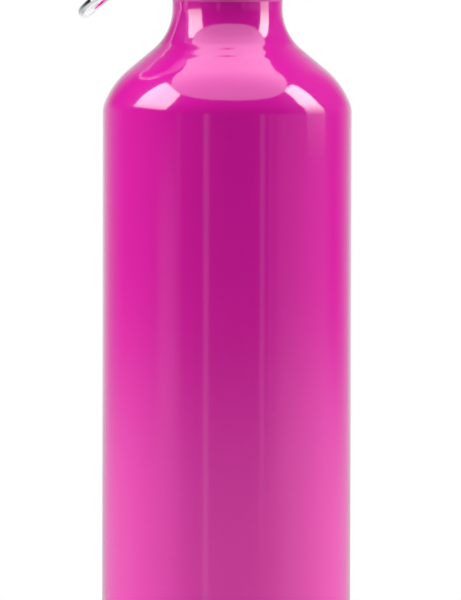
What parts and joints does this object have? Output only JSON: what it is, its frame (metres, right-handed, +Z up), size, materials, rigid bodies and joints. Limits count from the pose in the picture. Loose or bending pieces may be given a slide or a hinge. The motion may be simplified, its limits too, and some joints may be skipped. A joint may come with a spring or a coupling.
{
  "type": "drinking bottle",
  "caption": "Tall one-piece lacquered aluminium drinking bottle with a rounded shoulder and narrow neck, a screw-in cap with a carrying loop, and a spring-gate carabiner on the loop.",
  "frame": {"origin": "on the bottle's axis, at the plane that it stands on", "axes": "+Z up along the bottle's axis; the carabiner hangs over the -X side, with its gate towards -Y"},
  "size_m": [0.0802, 0.073, 0.2531],
  "materials": {
    "magenta_lacquer": "glossy lacquer on drawn aluminium",
    "natural_plastic": "natural polypropylene",
    "silicone": "milky silicone",
    "stopper_plastic": "smooth black polypropylene",
    "black_plastic": "fine-grained black polypropylene",
    "polished_metal": "polished",
    "pin_steel": "turned",
    "spring_steel": "drawn wire"
  },
  "bodies": {
    "bottle": {"bottle_shell": "magenta_lacquer", "neck_thread_insert": "natural_plastic"},
    "seal": {"seal_ring": "silicone"},
    "cap": {"cap_shell": "black_plastic", "threaded_stopper": "stopper_plastic"},
    "carabiner": {"carabiner_body": "polished_metal", "gate_hinge_rivet": "pin_steel"},
    "gate": {"carabiner_gate": "polished_metal", "gate_latch_pin": "pin_steel", "gate_spring": "spring_steel"},
    "plunger": {"gate_plunger": "pin_steel"}
  },
  "joints": [
    {"name": "cap_rise", "type": "slide", "parent": "bottle", "child": "seal", "axis": [0, 0, 1], "range_m": [0, 0.0158]},
    {"name": "cap_turn", "type": "hinge", "parent": "seal", "child": "cap", "pos_m": [0, 0, 0.2214], "axis": [0, 0, 1], "range_deg": [0, 1620]},
    {"name": "carabiner_swing", "type": "hinge", "parent": "cap", "child": "carabiner", "pos_m": [-0.00452, 0, 0.24493], "axis": [0, 1, 0], "range_deg": [0, 244]},
    {"name": "gate_open", "type": "hinge", "parent": "carabiner", "child": "gate", "pos_m": [-0.01358, -0.00922, 0.23727], "axis": [0.6455, 0, -0.7638], "range_deg": [0, 24], "stiffness_Nm_per_rad": 0.015, "springref_deg": -57.3},
    {"name": "plunger_slide", "type": "slide", "parent": "gate", "child": "plunger", "axis": [-0.7619, -0.0697, -0.6439], "range_m": [0, 0.00057], "deforming": ["gate_spring"]}
  ],
  "couplings": [
    {"joint": "cap_rise", "follows": "cap_turn", "m_per_rad": 0.00055704},
    {"joint": "plunger_slide", "follows": "gate_open", "m_per_rad": 0.00132}
  ]
}
